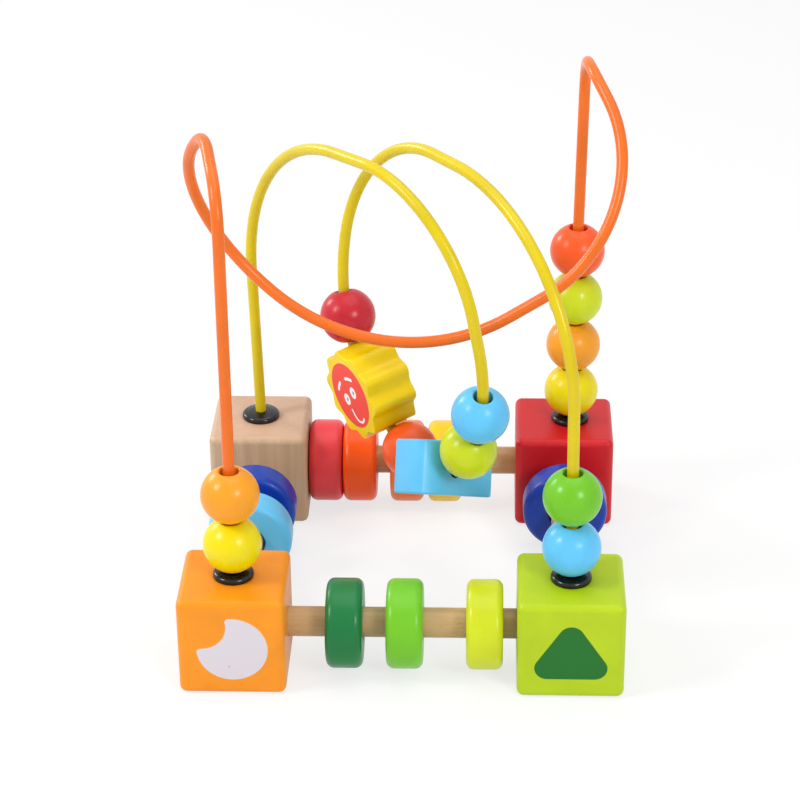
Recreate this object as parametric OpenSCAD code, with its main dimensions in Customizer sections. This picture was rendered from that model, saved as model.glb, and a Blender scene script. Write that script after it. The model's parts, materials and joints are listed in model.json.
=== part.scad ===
// Wooden bead maze: four corner blocks tied into a square by dowels that carry counting
// discs, and two bent wires, set in the blocks, that carry beads, a wave and a sun.
// Origin at the middle of the base, on the surface that the blocks stand on. Front is -Y.

/* [Base] */
// Side of a corner block
block_side = 40; // [36:1:46]
// Clear distance between two neighbouring blocks
block_gap = 86; // [82:1:100]
// Rounding of the block edges
block_edge_r = 2; // [1:0.5:4]
// Diameter of the dowels
dowel_d = 11.4; // [9:0.2:12]
// Depth that a dowel is glued into a block
dowel_depth = 12; // [8:0.5:13]

/* [Discs] */
// Diameter of a counting disc
disc_d = 34; // [26:1:37]
// Thickness of a counting disc
disc_t = 13.8; // [9:0.2:15]
// Rounding of the disc rims
disc_edge_r = 3; // [1:0.5:4]
// Bore of a disc, loose on its dowel
disc_bore_d = 13; // [12.6:0.1:15]

/* [Grommets] */
// Diameter of a grommet's flange
grommet_d = 15.4; // [12:0.2:18]
// Height of the flange's straight rim
grommet_rim_h = 1; // [0.6:0.1:2]
// Height of the flange's dome over the rim
grommet_dome_h = 2; // [1:0.1:3]
// Diameter of the shank in the block
grommet_shank_d = 8.6; // [7:0.2:10]
// Length of the shank in the block
grommet_shank_l = 8; // [5:0.5:10]

/* [Wires] */
// Diameter of the coated wire
wire_d = 4.4; // [3.6:0.1:5]
// Depth that a wire end reaches below the top of its block
wire_set = 28; // [20:1:30]
// Radius of the slight bend where a leg leaves its grommet
foot_bend_r = 86; // [60:1:120]
// Height of the orange wire's highest corner
orange_rise = 207; // [195:1:225]
// Radius of the two bends of each orange crook
crook_r = 20; // [16:0.5:22]
// Radius where a crook turns into the orange sag
elbow_r = 53; // [40:1:54]
// Radius of the orange sag
sag_r = 77; // [50:1:78]
// Height of the yellow wire's highest corner
yellow_rise = 187; // [180:1:200]
// Radius of the bend over each yellow leg
shoulder_r = 71; // [50:1:74]
// Radius of the bend at the top of each yellow loop
brow_r = 49; // [40:1:51]
// Radius of the long bend down each flank of the trough
flank_r = 86; // [80:1:88]
// Radius at the bottom of the trough
trough_r = 31; // [29.5:0.5:31.5]

/* [Beads] */
// Diameter of a round bead
bead_d = 22; // [18:0.5:23]
// Bore of every piece on a wire
bead_bore_d = 7.4; // [7:0.1:8.4]
// Distance of the coral bead past the middle of the trough, along the wire
coral_station = 13.5; // [11:0.5:15]

/* [Sun and wave] */
// Diameter over the tips of the sun's rays
sun_d = 37; // [32:0.5:39]
// Height of a ray from its valley
sun_ray_h = 1.9; // [1:0.1:2.5]
// Number of rays, an even number
sun_rays = 10; // [8:2:16]
// Thickness of the sun
sun_t = 19.5; // [14:0.5:24]
// Turn of the sun round the wire, in degrees, with its faces upright at 90
sun_tilt = 78; // [60:1:100]
// Length of the wave
wave_l = 38; // [32:0.5:42]
// Thickness of the wave along the wire
wave_t = 16.5; // [14:0.5:18]
// Height of the wave
wave_h = 21; // [16:0.5:24]
// Swing of the wave's walls to each side
wave_swing = 2.2; // [1:0.1:2.6]
// Rounding of the wave's upright edges
wave_edge_r = 4; // [2:0.5:6]
// Tilt of the wave round the wire, in degrees
wave_tilt = 20; // [0:5:40]

/* [Fits] */
// Room round a dowel in its bore
dowel_clear = 0.05; // [0.02:0.01:0.15]
// Room round a grommet and a wire where they are set
set_clear = 0.1; // [0.05:0.01:0.2]
// Gap between loose pieces that rest on each other
rest_gap = 0.3; // [0.2:0.05:0.5]
// Wire length beyond contact between the lime bead and the wave, most of it taken up by the bend
lime_slack = 3.3; // [3:0.1:4]
// The same between the wave and the coral bead
wave_slack = 2; // [1.6:0.1:2.6]
// The same between the coral bead and the sun
sun_slack = 1.4; // [1.2:0.1:2]
// Gap under the upper bead of the front right leg
green_lift = 0.5; // [0:0.1:4]

/* [Hidden] */
$fn = 48;
// Length by which every cut runs past the face that it opens
overrun = 1;
// Room left past the end of a dowel or wire in its blind bore
end_room = 0.5;
// Widest turn between two rings of a wire, and the turn below which it runs straight, in degrees
ring_turn = 8;
least_turn = 0.1;
// Sides of a wire's rings
wire_sides = 12;
// Widest turn between two points of a rounded rim, in degrees
rim_turn = 15;
// Points on each ray of the sun
ray_points = 8;
// Steps along a wall of the wave
wave_steps = 28;

// Distance of the block centres from the middle, along X and along Y
post = (block_gap + block_side) / 2;
// Height of the dowels' middle
dowel_z = block_side / 2;
// Lowest point of the wires
foot_z = block_side - wire_set;
// Top of a grommet's flange
grommet_top_z = block_side + grommet_rim_h + grommet_dome_h;
// Half the length of a bead's bore, between its two rims
bead_half = sqrt(pow(bead_d / 2, 2) - pow(bead_bore_d / 2, 2));
// Distance between beads stacked on a straight leg, and on a bend
leg_pitch = 2 * bead_half + rest_gap;
bend_pitch = bead_d + rest_gap;
// Half the length of the sun's bore, from valley to valley
sun_half = sun_d / 2 - sun_ray_h;
// Distance from the sun's middle to a bead that touches a ray
sun_reach = (sun_d + bead_d) / 2;
// Distance from the wave's middle to a bead that touches its slanted wall
wave_slant = atan(360 / wave_l * wave_swing * PI / 180);
wave_reach = wave_t / 2 + bead_d / 2 / cos(wave_slant);

// Free lengths between the discs of each dowel, as shares of what the discs leave,
// from the left on the front and back dowels and from the back on the side dowels
front_gap_shares = [0.325, 0.197, 0.363, 0.115];
back_gap_shares = [0.01, 0.01, 0.19, 0.062, 0.728];
left_gap_shares = [0.224, 0.14, 0.636];
right_gap_shares = [0.14, 0.86];

// Places where the wires stand, as shares of the block centres' distance
orange_foot_shares = [[-1, -1], [1.04, 1]];
yellow_foot_shares = [[-1, 1], [1, -1]];
// Corners of the wires before bending, as shares of the same distance and of the rise
orange_corner_shares = [
    [-1, -1, 0.93], [-1.12, -0.45, 0.985], [-1.47, 0.25, 0.78], [-0.15, -0.08, 0.427],
    [1.56, -0.3, 0.795], [1.09, 0.52, 1], [1.085, 1, 0.955]
];
yellow_corner_shares = [
    [-1.05, 1, 0.92], [0.27, -0.71, 1], [0.525, -0.585, 0.5], [0.16, -0.05, 0.193],
    [-0.46, 0.57, 0.513], [-0.315, 0.765, 0.963], [0.985, -1, 0.977]
];

// Direction of a vector
function unit(v) = v / norm(v);
// Direction of v made square to way
function squared(v, way) = unit(v - (v * way) * way);
// Total of the first n numbers of a list
function total(list, n) = n == 0 ? 0 : list[n - 1] + total(list, n - 1);
// Place of disc number i of a dowel, measured from the dowel's first end
function disc_place(shares, i) =
    let (count = len(shares) - 1, free = block_gap - count * disc_t)
    free * total(shares, i + 1) + disc_t * (i + 1 / 2) - block_gap / 2;

// Bend at corner b of a wire that comes from a and goes on to c
function turn_at(a, b, c) = acos(min(1, unit(b - a) * unit(c - b)));
function bend_centre(a, b, c, r) =
    b + unit(unit(a - b) + unit(c - b)) * r / cos(turn_at(a, b, c) / 2);
function bend_points(a, b, c, r) =
    turn_at(a, b, c) < least_turn ? [b] :
    let (turn = turn_at(a, b, c),
         along = unit(b - a),
         centre = bend_centre(a, b, c, r),
         outward = unit(b - along * r * tan(turn / 2) - centre),
         steps = ceil(turn / ring_turn))
    [for (k = [0:steps])
        let (a = turn * k / steps)
        centre + r * (cos(a) * outward + sin(a) * along)];
// Corners of a whole wire: upright through the block and grommet, then by the table
function wire_corners(feet, shares, rise) =
    let (stand = [for (f = feet) [f.x * post, f.y * post, 0]],
         low = [0, 0, foot_z],
         high = [0, 0, grommet_top_z])
    concat([stand[0] + low, stand[0] + high],
           [for (p = shares) [p.x * post, p.y * post, p.z * rise]],
           [stand[1] + high, stand[1] + low]);
// Length that the bend at corner i takes from the runs beside it
function bend_run(corners, radii, i) =
    i == 0 || i == len(corners) - 1 ? 0 :
    radii[i - 1] * tan(turn_at(corners[i - 1], corners[i], corners[i + 1]) / 2);
// Share of the bends at its two ends that the run after corner i has room for
function run_share(corners, radii, i) =
    norm(corners[i + 1] - corners[i]) / (bend_run(corners, radii, i) + bend_run(corners, radii, i + 1));
// Radii of the bends, each limited by the runs that it joins
function fitting(corners, radii) =
    [for (i = [1:len(corners) - 2])
        radii[i - 1] * min(1, run_share(corners, radii, i - 1), run_share(corners, radii, i))];
// Points along a wire with every corner bent to its radius
function bent(corners, radii) =
    let (last = len(corners) - 1)
    concat([corners[0]],
           [for (i = [1:last - 1])
               each bend_points(corners[i - 1], corners[i], corners[i + 1], radii[i - 1])],
           [corners[last]]);
// Length along a path up to each of its points
function runs(path) =
    let (last = len(path) - 1)
    [for (i = 0, s = 0; i <= last; s = s + norm(path[min(i + 1, last)] - path[i]), i = i + 1) s];
// Point of a path at the length s
function point_at(path, run, s) =
    let (i = max([for (k = [0:len(path) - 2]) if (run[k] <= s) k]))
    path[i] + (path[i + 1] - path[i]) * (s - run[i]) / (run[i + 1] - run[i]);
// Middle and direction of a straight bore of half length h that the wire passes at s
function bore_middle(path, run, s, h) =
    (point_at(path, run, s - h) + point_at(path, run, s + h)) / 4 + point_at(path, run, s) / 2;
function bore_way(path, run, s, h) = unit(point_at(path, run, s + h) - point_at(path, run, s - h));

orange_corners = wire_corners(orange_foot_shares, orange_corner_shares, orange_rise);
yellow_corners = wire_corners(yellow_foot_shares, yellow_corner_shares, yellow_rise);
orange_radii = fitting(orange_corners, [
    foot_bend_r, crook_r, crook_r, elbow_r, sag_r, elbow_r, crook_r, crook_r, foot_bend_r
]);
yellow_radii = fitting(yellow_corners, [
    foot_bend_r, shoulder_r, brow_r, flank_r, trough_r, flank_r, brow_r, shoulder_r, foot_bend_r
]);
orange_path = bent(orange_corners, orange_radii);
yellow_path = bent(yellow_corners, yellow_radii);
yellow_run = runs(yellow_path);

// Corner at the bottom of the yellow trough, between the corners of its flanks, and its radius
front_flank = yellow_corners[4];
trough_low = yellow_corners[5];
back_flank = yellow_corners[6];
trough_bend_r = yellow_radii[4];
// Where the trough's bend starts, and the length along the wire at its middle
trough_turn = turn_at(front_flank, trough_low, back_flank);
trough_start = trough_low + unit(front_flank - trough_low) * trough_bend_r * tan(trough_turn / 2);
trough_mid = trough_bend_r * trough_turn * PI / 360
    + min([for (k = [0:len(yellow_path) - 1])
        if (norm(yellow_path[k] - trough_start) < wire_d / 2) yellow_run[k]]);
// Lengths along the yellow wire at which its trough pieces hang
coral_s = trough_mid + coral_station;
sun_s = coral_s + sun_reach + sun_slack;
red_s = sun_s + sun_reach + rest_gap;
wave_s = coral_s - wave_reach - wave_slack;
lime_s = wave_s - wave_reach - lime_slack;
sky_s = lime_s - bend_pitch;

// Middle height of bead number i of a stack that stands on a grommet
function stack_z(i) = grommet_top_z + rest_gap + bead_half + i * leg_pitch;
// Point and direction of a leg that starts over foot and leans to corner, at height z
function leg_way(foot, corner) = unit(corner - foot);
function leg_point(foot, corner, z) = foot + (corner - foot) * (z - foot.z) / (corner.z - foot.z);

// Prism along Z with a square section and four rounded edges
module rounded_prism(side, r) {
    inner = side - 2 * r;
    cube([side, inner, side], center = true);
    cube([inner, side, side], center = true);
    for (x = [-1, 1], y = [-1, 1])
        translate([x * inner / 2, y * inner / 2, 0]) cylinder(h = side, r = r, center = true);
}

// Cube with all twelve edges rounded
module rounded_block(side, r) {
    intersection() {
        rounded_prism(side, r);
        rotate([90, 0, 0]) rounded_prism(side, r);
        rotate([0, 90, 0]) rounded_prism(side, r);
    }
}

// Corner block on the side given by sx and sy, with two dowel bores and a stepped wire hole
module corner_block(sx, sy, foot) {
    bore_d = dowel_d + 2 * dowel_clear;
    bore_depth = dowel_depth + end_room;
    inner = block_side / 2 - bore_depth;
    difference() {
        translate([sx * post, sy * post, block_side / 2]) rounded_block(block_side, block_edge_r);
        translate([sx * (post - inner), sy * post, dowel_z])
            rotate([0, -sx * 90, 0]) cylinder(h = bore_depth + overrun, d = bore_d);
        translate([sx * post, sy * (post - inner), dowel_z])
            rotate([sy * 90, 0, 0]) cylinder(h = bore_depth + overrun, d = bore_d);
        translate([foot.x * post, foot.y * post, foot_z - end_room])
            cylinder(h = wire_set + end_room + overrun, d = wire_d + 2 * set_clear);
        translate([foot.x * post, foot.y * post, block_side - grommet_shank_l - end_room])
            cylinder(h = grommet_shank_l + end_room + overrun, d = grommet_shank_d + 2 * set_clear);
    }
}

// Dowel along X or Y, through the middle of its pair of blocks
module dowel(turn, place) {
    translate([place.x, place.y, dowel_z]) rotate(turn)
        cylinder(h = block_gap + 2 * dowel_depth, d = dowel_d, center = true);
}

// Disc with rounded rims, hung on its dowel by the top of its bore
module disc(turn, place) {
    half = disc_t / 2;
    corner = [disc_d / 2 - disc_edge_r, half - disc_edge_r];
    rim = [for (a = [0:rim_turn:90]) corner + disc_edge_r * [cos(a), sin(a)]];
    lower = [for (k = [len(rim) - 1:-1:0]) [rim[k].x, -rim[k].y]];
    hang = (disc_bore_d - dowel_d) / 2 - rest_gap;
    translate([place.x, place.y, dowel_z - hang]) rotate(turn)
        rotate_extrude($fn = 96)
            polygon(concat([[disc_bore_d / 2, half]], [[disc_bore_d / 2, -half]], lower, rim));
}

// Discs at place number i of the four dowels
along_x = [0, 90, 0];
along_y = [90, 0, 0];
module front_disc(i) { disc(along_x, [disc_place(front_gap_shares, i), -post]); }
module back_disc(i) { disc(along_x, [disc_place(back_gap_shares, i), post]); }
module left_disc(i) { disc(along_y, [-post, -disc_place(left_gap_shares, i)]); }
module right_disc(i) { disc(along_y, [post, -disc_place(right_gap_shares, i)]); }

// Flanged plastic bush, domed, that closes the hole round a wire
module grommet(foot) {
    dome_r = (pow(grommet_d / 2, 2) + pow(grommet_dome_h, 2)) / (2 * grommet_dome_h);
    flange_h = grommet_rim_h + grommet_dome_h;
    translate([foot.x * post, foot.y * post, block_side]) difference() {
        union() {
            intersection() {
                translate([0, 0, flange_h - dome_r]) sphere(r = dome_r);
                cylinder(h = flange_h, d = grommet_d);
            }
            translate([0, 0, -grommet_shank_l])
                cylinder(h = grommet_shank_l + grommet_rim_h, d = grommet_shank_d);
        }
        translate([0, 0, -grommet_shank_l - overrun])
            cylinder(h = grommet_shank_l + flange_h + 2 * overrun, d = wire_d + 2 * set_clear);
    }
}

// Wire swept along a path that starts upright, with flat ends
module swept_wire(path) {
    last = len(path) - 1;
    ways = [for (i = [0:last]) unit(path[min(i + 1, last)] - path[max(i - 1, 0)])];
    sides = [for (i = 0, v = [1, 0, 0]; i <= last; i = i + 1, v = squared(v, ways[min(i, last)])) v];
    ring = [for (k = [0:wire_sides - 1])
        wire_d / 2 * [cos(360 * k / wire_sides), sin(360 * k / wire_sides)]];
    points = [for (i = [0:last], p = ring) path[i] + p.x * sides[i] + p.y * cross(ways[i], sides[i])];
    walls = [for (i = [0:last - 1], k = [0:wire_sides - 1])
        let (a = i * wire_sides + k, b = i * wire_sides + (k + 1) % wire_sides)
        each [[a, a + wire_sides, b + wire_sides], [a, b + wire_sides, b]]];
    first_end = [for (k = [0:wire_sides - 1]) k];
    last_end = [for (k = [wire_sides - 1:-1:0]) last * wire_sides + k];
    polyhedron(points, concat([first_end], walls, [last_end]));
}

// Children set at c with their own X, Y and Z along x, y and z
module set_at(c, x, y, z) {
    multmatrix([[x.x, y.x, z.x, c.x], [x.y, y.y, z.y, c.y], [x.z, y.z, z.z, c.z]]) children();
}

// Children on the yellow wire at s, their Y along the wire, level and then tilted round it
module on_trough(s, h, tilt) {
    way = bore_way(yellow_path, yellow_run, s, h);
    level = unit(cross(way, [0, 0, 1]));
    drop = cross(way, level);
    x = cos(tilt) * level + sin(tilt) * drop;
    set_at(bore_middle(yellow_path, yellow_run, s, h), x, way, cross(x, way)) children();
}

// Round bead with its bore along Y
module bead() {
    rotate([90, 0, 0]) difference() {
        sphere(d = bead_d);
        cylinder(h = bead_d + 2 * overrun, d = bead_bore_d, center = true);
    }
}

// Bead on the trough
module trough_bead(s) { on_trough(s, bead_half, 0) bead(); }

// Bead on a leg that leans from its foot's grommet to a corner, with its middle at height z
module leg_bead(corners, end, z) {
    foot = end == 0 ? corners[1] : corners[len(corners) - 2];
    corner = end == 0 ? corners[2] : corners[len(corners) - 3];
    way = leg_way(foot, corner);
    x = unit(cross(way, [0, -1, 0]));
    set_at(leg_point(foot, corner, z), x, way, cross(x, way)) bead();
}

// Sun with rounded rays, drilled across from one valley to the opposite one
module sun() {
    count = sun_rays * ray_points;
    outline = [for (k = [0:count - 1])
        let (a = 360 * k / count, r = sun_d / 2 - sun_ray_h * (1 + cos(sun_rays * (a - 90))) / 2)
        r * [cos(a), sin(a)]];
    difference() {
        translate([0, 0, -sun_t / 2]) linear_extrude(sun_t) polygon(outline);
        rotate([90, 0, 0]) cylinder(h = sun_d + 2 * overrun, d = bead_bore_d, center = true);
    }
}

// Wave: a bar whose two long walls swing side by side, drilled through its middle
module wave() {
    x_at = [for (k = [0:wave_steps]) -wave_l / 2 * cos(180 * k / wave_steps)];
    past = [for (x = x_at) max(0, abs(x) - wave_l / 2 + wave_edge_r)];
    half = [for (p = past) wave_t / 2 - wave_edge_r + sqrt(max(0, wave_edge_r * wave_edge_r - p * p))];
    swing = [for (x = x_at) wave_swing * sin(360 * x / wave_l)];
    front = [for (k = [0:wave_steps]) [x_at[k], swing[k] - half[k]]];
    back = [for (k = [wave_steps:-1:0]) [x_at[k], swing[k] + half[k]]];
    difference() {
        translate([0, 0, -wave_h / 2]) linear_extrude(wave_h) polygon(concat(front, back));
        rotate([90, 0, 0])
            cylinder(h = wave_t + 2 * (wave_swing + overrun), d = bead_bore_d, center = true);
    }
}

// Corner blocks
module block_front_left() { color("#f5a32d") corner_block(-1, -1, orange_foot_shares[0]); }
module block_front_right() { color("#b9da2d") corner_block(1, -1, yellow_foot_shares[1]); }
module block_back_left() { color("#d0b28a") corner_block(-1, 1, yellow_foot_shares[0]); }
module block_back_right() { color("#c4242b") corner_block(1, 1, orange_foot_shares[1]); }

// Dowels
module dowel_front() { color("#c9a46e") dowel(along_x, [0, -post]); }
module dowel_back() { color("#c9a46e") dowel(along_x, [0, post]); }
module dowel_left() { color("#c9a46e") dowel(along_y, [-post, 0]); }
module dowel_right() { color("#c9a46e") dowel(along_y, [post, 0]); }

// Counting discs
module disc_front_green() { color("#1f7f45") front_disc(0); }
module disc_front_leaf() { color("#7dcc3c") front_disc(1); }
module disc_front_yellow() { color("#dce63c") front_disc(2); }
module disc_back_red() { color("#be373c") back_disc(0); }
module disc_back_coral() { color("#dc501e") back_disc(1); }
module disc_back_orange() { color("#e1783c") back_disc(2); }
module disc_back_yellow() { color("#ebc814") back_disc(3); }
module disc_left_blue() { color("#1e41b4") left_disc(0); }
module disc_left_sky() { color("#64b9e1") left_disc(1); }
module disc_right_blue() { color("#1e41b4") right_disc(0); }

// Wires and their grommets
module wire_orange() { color("#f0823c") swept_wire(orange_path); }
module wire_yellow() { color("#ebd728") swept_wire(yellow_path); }
module grommet_front_left() { color("#1c1c1e") grommet(orange_foot_shares[0]); }
module grommet_front_right() { color("#1c1c1e") grommet(yellow_foot_shares[1]); }
module grommet_back_left() { color("#1c1c1e") grommet(yellow_foot_shares[0]); }
module grommet_back_right() { color("#1c1c1e") grommet(orange_foot_shares[1]); }

// Beads on the legs
module bead_front_left_yellow() { color("#f0e10a") leg_bead(orange_corners, 0, stack_z(0)); }
module bead_front_left_orange() { color("#f5aa3c") leg_bead(orange_corners, 0, stack_z(1)); }
module bead_back_right_yellow() { color("#f0e10a") leg_bead(orange_corners, 1, stack_z(0)); }
module bead_back_right_orange() { color("#f5aa3c") leg_bead(orange_corners, 1, stack_z(1)); }
module bead_back_right_lime() { color("#cde13c") leg_bead(orange_corners, 1, stack_z(2)); }
module bead_back_right_coral() { color("#f55f32") leg_bead(orange_corners, 1, stack_z(3)); }
module bead_front_right_sky() { color("#69c3f0") leg_bead(yellow_corners, 1, stack_z(0)); }
module bead_front_right_green() { color("#7dcc3c") leg_bead(yellow_corners, 1, stack_z(1) + green_lift); }

// Pieces that hang in the trough of the yellow wire
module bead_loop_sky() { color("#69c3f0") trough_bead(sky_s); }
module bead_loop_lime() { color("#cde13c") trough_bead(lime_s); }
module wave_block() { color("#69c3f0") on_trough(wave_s, wave_t / 2, wave_tilt) wave(); }
module bead_loop_coral() { color("#f55f32") trough_bead(coral_s); }
module sun_block() { color("#f5dc14") on_trough(sun_s, sun_half, sun_tilt) sun(); }
module bead_loop_red() { color("#d7414b") trough_bead(red_s); }

block_front_left();
block_front_right();
block_back_left();
block_back_right();
dowel_front();
dowel_back();
dowel_left();
dowel_right();
disc_front_green();
disc_front_leaf();
disc_front_yellow();
disc_back_red();
disc_back_coral();
disc_back_orange();
disc_back_yellow();
disc_left_blue();
disc_left_sky();
disc_right_blue();
wire_orange();
wire_yellow();
grommet_front_left();
grommet_front_right();
grommet_back_left();
grommet_back_right();
bead_front_left_yellow();
bead_front_left_orange();
bead_back_right_yellow();
bead_back_right_orange();
bead_back_right_lime();
bead_back_right_coral();
bead_front_right_sky();
bead_front_right_green();
bead_loop_sky();
bead_loop_lime();
wave_block();
bead_loop_coral();
sun_block();
bead_loop_red();
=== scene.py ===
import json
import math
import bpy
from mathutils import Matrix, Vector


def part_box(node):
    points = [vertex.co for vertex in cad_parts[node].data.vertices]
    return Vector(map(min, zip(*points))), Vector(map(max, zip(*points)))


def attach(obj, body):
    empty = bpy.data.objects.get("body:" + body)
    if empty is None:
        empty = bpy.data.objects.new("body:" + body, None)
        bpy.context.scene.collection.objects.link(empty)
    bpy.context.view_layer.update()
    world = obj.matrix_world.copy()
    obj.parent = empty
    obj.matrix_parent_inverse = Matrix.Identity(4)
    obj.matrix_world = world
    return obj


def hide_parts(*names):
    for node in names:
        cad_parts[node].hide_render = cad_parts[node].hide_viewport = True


bl_info = {
    "name": "Wooden bead maze",
    "version": (1, 0, 0),
    "blender": (4, 5, 0),
    "location": "3D View > Sidebar > Bead maze",
    "description": "Dresses a bead maze in lacquered wood, coated wire and black plastic",
    "category": "Object",
}

import bmesh
import bpy
from bpy.props import FloatProperty, FloatVectorProperty, IntProperty, PointerProperty
from mathutils import Matrix, Vector

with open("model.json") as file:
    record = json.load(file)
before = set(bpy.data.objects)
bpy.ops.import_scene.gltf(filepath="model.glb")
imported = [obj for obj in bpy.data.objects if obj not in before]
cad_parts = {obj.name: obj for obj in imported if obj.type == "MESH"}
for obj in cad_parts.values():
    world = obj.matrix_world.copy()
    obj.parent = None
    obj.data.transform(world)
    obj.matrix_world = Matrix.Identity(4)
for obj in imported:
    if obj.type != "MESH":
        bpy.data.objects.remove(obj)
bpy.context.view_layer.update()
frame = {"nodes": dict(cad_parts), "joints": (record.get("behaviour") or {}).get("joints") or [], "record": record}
JOINTS = {joint["child"]: joint for joint in frame["joints"]}
BODY_OF = {node: body for body, nodes in frame["record"]["behaviour"]["bodies"].items() for node in nodes}
SLOT_OF = {part["node"]: part["material_slot"] for part in frame["record"]["subparts"]}
MM = 0.001


def box_size(node):
    """Lengths of a node's box along X, Y and Z."""
    low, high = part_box(node)
    return high - low


def box_middle(node):
    """Middle of a node's box."""
    low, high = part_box(node)
    return (low + high) / 2


def linear(code):
    """A colour written as #rrggbb, in the linear values that shaders use."""
    parts = [int(code[k:k + 2], 16) / 255 for k in (1, 3, 5)]
    return tuple(p / 12.92 if p <= 0.04045 else ((p + 0.055) / 1.055) ** 2.4 for p in parts)


def length(name, description, default):
    """A length that a user may change."""
    return FloatProperty(name=name, description=description, default=default, min=0, precision=5,
                         subtype="DISTANCE", unit="LENGTH")


def angle(name, description, degrees):
    """An angle that a user may change."""
    return FloatProperty(name=name, description=description, default=math.radians(degrees), subtype="ANGLE",
                         unit="ROTATION")


def colour(name, description, code):
    """A colour that a user may change."""
    return FloatVectorProperty(name=name, description=description, default=linear(code), size=3, min=0, max=1,
                               subtype="COLOR")


BLOCK_SIDE = box_size("block_front_left").x
POST = box_middle("block_front_right").x
DISC_SIZE = box_size("disc_front_green")
BEAD_SIZE = box_size("bead_front_left_yellow")
DOWEL_SIZE = box_size("dowel_front")
GROMMET_SIZE = box_size("grommet_front_left")
CREASE = math.radians(32)
WELD = 0.002 * MM
WIRE_SIDES = 32
BEND_STEPS = 28
LEAST_TURN = math.radians(0.1)


class MazeSizes(bpy.types.PropertyGroup):
    """Sizes of the maze's pieces, in metres."""

    block_edge: length("Block edge", "Rounding of the corner blocks", 2.8 * MM)
    fit: length("Fit", "Room round a dowel, wire or grommet where it is set", 0.1 * MM)
    dowel_edge: length("Dowel edge", "Rounding of a dowel's ends", 0.8 * MM)
    disc_edge: length("Disc edge", "Rounding of a disc's rims", 3 * MM)
    disc_bore: length("Disc bore", "Diameter of a disc's bore", 13 * MM)
    bore_edge: length("Bore edge", "Rounding where a bore opens", 0.6 * MM)
    bead_bore: length("Bead bore", "Diameter of the bore of every piece on a wire", 7.4 * MM)
    wire: length("Wire", "Diameter of the coated wire", 4.4 * MM)
    wire_foot: length("Wire foot", "Height of the wires' lowest point", 12 * MM)
    grommet_rim: length("Grommet rim", "Height of a grommet's straight rim", 1 * MM)
    grommet_edge: length("Grommet edge", "Rounding under a grommet's rim", 0.3 * MM)
    grommet_shoulder: length("Grommet shoulder", "Rounding over a grommet's rim", 1.4 * MM)
    grommet_dome: length("Grommet dome", "Height of a grommet's dome over the rim", 2 * MM)
    grommet_shank: length("Grommet shank", "Diameter of a grommet's shank", 8.6 * MM)
    orange_rise: length("Orange rise", "Height of the orange wire's highest corner", 207 * MM)
    yellow_rise: length("Yellow rise", "Height of the yellow wire's highest corner", 187 * MM)
    sun: length("Sun", "Diameter over the tips of the sun's rays", 37 * MM)
    sun_ray: length("Sun ray", "Height of a ray from its valley", 2.3 * MM)
    sun_thickness: length("Sun thickness", "Thickness of the sun", 19.5 * MM)
    sun_rays: IntProperty(name="Sun rays", description="Number of rays, an even number", default=10, min=4)
    sun_tilt: angle("Sun tilt", "Turn of the sun round the wire", 78)
    wave_length: length("Wave length", "Length of the wave", 38 * MM)
    wave_thickness: length("Wave thickness", "Thickness of the wave along the wire", 16.5 * MM)
    wave_height: length("Wave height", "Height of the wave", 21 * MM)
    wave_swing: length("Wave swing", "Swing of the wave's walls to each side", 2.2 * MM)
    wave_end: length("Wave end", "Rounding of the wave's upright edges", 4 * MM)
    wave_tilt: angle("Wave tilt", "Turn of the wave round the wire", 20)
    sawn_edge: length("Sawn edge", "Rounding of the edges of the sawn sun and wave", 0.9 * MM)


class MazeColours(bpy.types.PropertyGroup):
    """Colours of the maze's finishes."""

    orange_paint: colour("Orange block", "Lacquer of the front left block", "#f09214")
    lime_paint: colour("Lime block", "Lacquer of the front right block", "#b2cb10")
    red_paint: colour("Red block", "Lacquer of the back right block", "#ce1a22")
    natural_wood: colour("Natural block", "Bare wood of the back left block", "#ccad8a")
    dowel_wood: colour("Dowel", "Bare wood of the dowels", "#cba774")
    green_paint: colour("Green disc", "Lacquer of the dark green disc", "#0f7238")
    leaf_paint: colour("Leaf green", "Lacquer of the leaf green disc and bead", "#70bf22")
    lemon_paint: colour("Lemon disc", "Lacquer of the lemon disc", "#c8d31c")
    dark_red_paint: colour("Dark red disc", "Lacquer of the dark red disc", "#ec4248")
    coral_paint: colour("Coral disc", "Lacquer of the coral disc", "#fc560a")
    tangerine_paint: colour("Tangerine disc", "Lacquer of the tangerine disc", "#e8722c")
    yellow_paint: colour("Yellow disc", "Lacquer of the yellow disc", "#eac008")
    blue_paint: colour("Blue disc", "Lacquer of the blue discs", "#0c38a4")
    sky_paint: colour("Sky blue", "Lacquer of the sky blue pieces", "#60c0f2")
    orange_coating: colour("Orange wire", "Coat of the orange wire", "#e66c1a")
    yellow_coating: colour("Yellow wire", "Coat of the yellow wire", "#d6bf08")
    black_plastic: colour("Grommet", "Plastic of the grommets", "#0e0e10")
    bead_yellow_paint: colour("Yellow bead", "Lacquer of the yellow beads", "#ead800")
    bead_orange_paint: colour("Orange bead", "Lacquer of the orange beads", "#f09c22")
    bead_lime_paint: colour("Lime bead", "Lacquer of the lime beads", "#cbd91c")
    bead_coral_paint: colour("Coral bead", "Lacquer of the coral beads", "#f25a20")
    bead_red_paint: colour("Red bead", "Lacquer of the red bead", "#c82634")
    sun_paint: colour("Sun", "Lacquer of the sun", "#f2d000")
    moon_print: colour("Moon", "Printed moon", "#d3cdd5")
    triangle_print: colour("Triangle", "Printed triangle", "#166c20")
    face_print: colour("Sun face", "Printed disc of the sun's face", "#f04438")
    face_line: colour("Face lines", "Brows, eyes and smile of the sun's face", "#f8f1f4")
    pupil: colour("Pupils", "Pupils of the sun's eyes", "#6e7488")
    floor: colour("Floor", "Floor and backdrop", "#f4f4f4")


def sizes():
    """The scene's sizes."""
    return bpy.context.scene.maze_sizes


def colours():
    """The scene's colours."""
    return bpy.context.scene.maze_colours


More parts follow.
